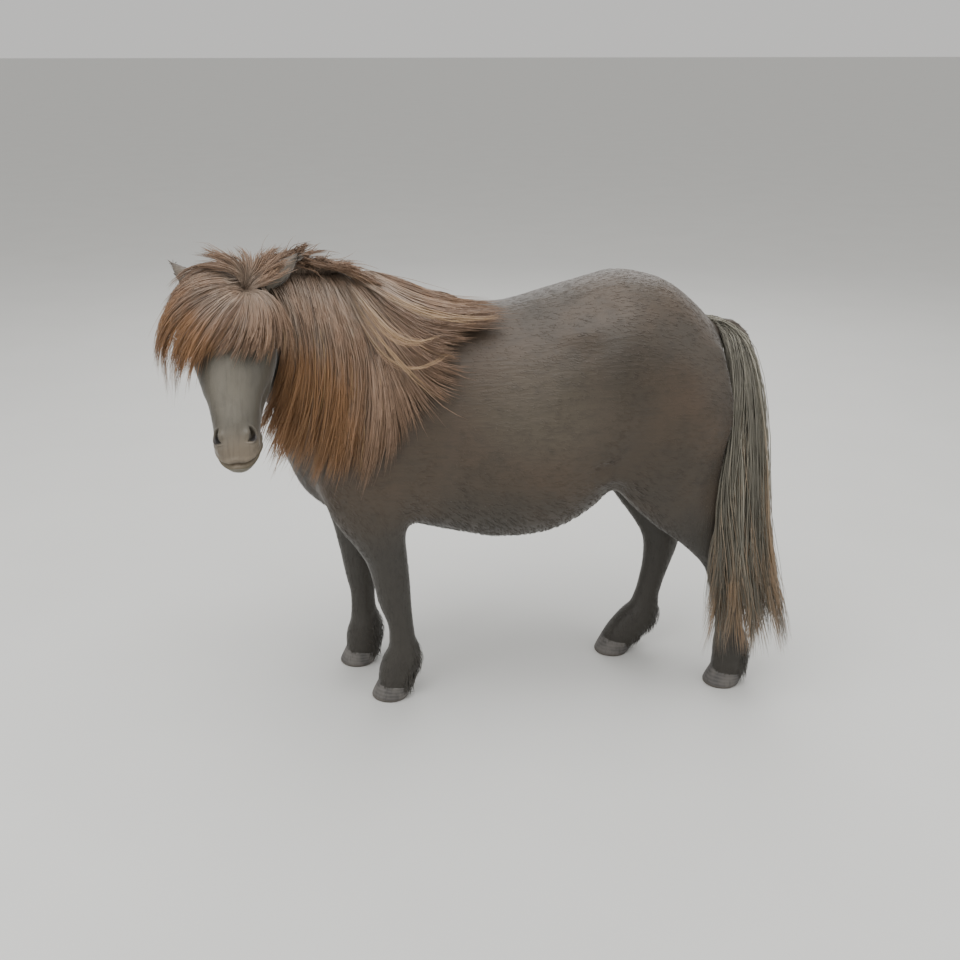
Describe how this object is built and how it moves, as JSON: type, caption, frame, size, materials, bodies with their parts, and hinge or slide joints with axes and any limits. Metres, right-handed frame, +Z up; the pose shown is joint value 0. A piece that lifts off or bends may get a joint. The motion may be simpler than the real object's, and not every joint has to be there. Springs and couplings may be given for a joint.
{
  "type": "shetland pony model",
  "caption": "Life-size standing Shetland pony, dark brown, head turned to its left, with long mane, forelock and tail.",
  "frame": {"origin": "centre of the bounding box's bottom, on the floor plane that the four soles stand on", "axes": "-X is the way the body faces, +X towards the tail, -Y the pony's left side, +Z up"},
  "size_m": [1.3448, 0.6328, 1.0637],
  "materials": {
    "coat": "short dark brown-black hair with a soft sheen",
    "mane": "long brown hair bleached to auburn at the tips, over the dark neck",
    "tail": "long dark hair with lighter strands and reddish tips",
    "face": "very short dark grey hair, paler round the lips and nostrils",
    "ear": "short dark grey hair",
    "eye": "glossy, near black",
    "hoof": "grey horn with paler bands, dull"
  },
  "bodies": {
    "root": {"torso": "coat", "neck": "mane", "head": "face", "tail": "tail", "ear_left": "ear", "ear_right": "ear", "eye_left": "eye", "eye_right": "eye", "fore_left_upper": "coat", "fore_left_lower": "coat", "fore_right_upper": "coat", "fore_right_lower": "coat", "hind_left_upper": "coat", "hind_left_lower": "coat", "hind_right_upper": "coat", "hind_right_lower": "coat", "fore_left_hoof": "hoof", "fore_right_hoof": "hoof", "hind_left_hoof": "hoof", "hind_right_hoof": "hoof"}
  },
  "joints": []
}
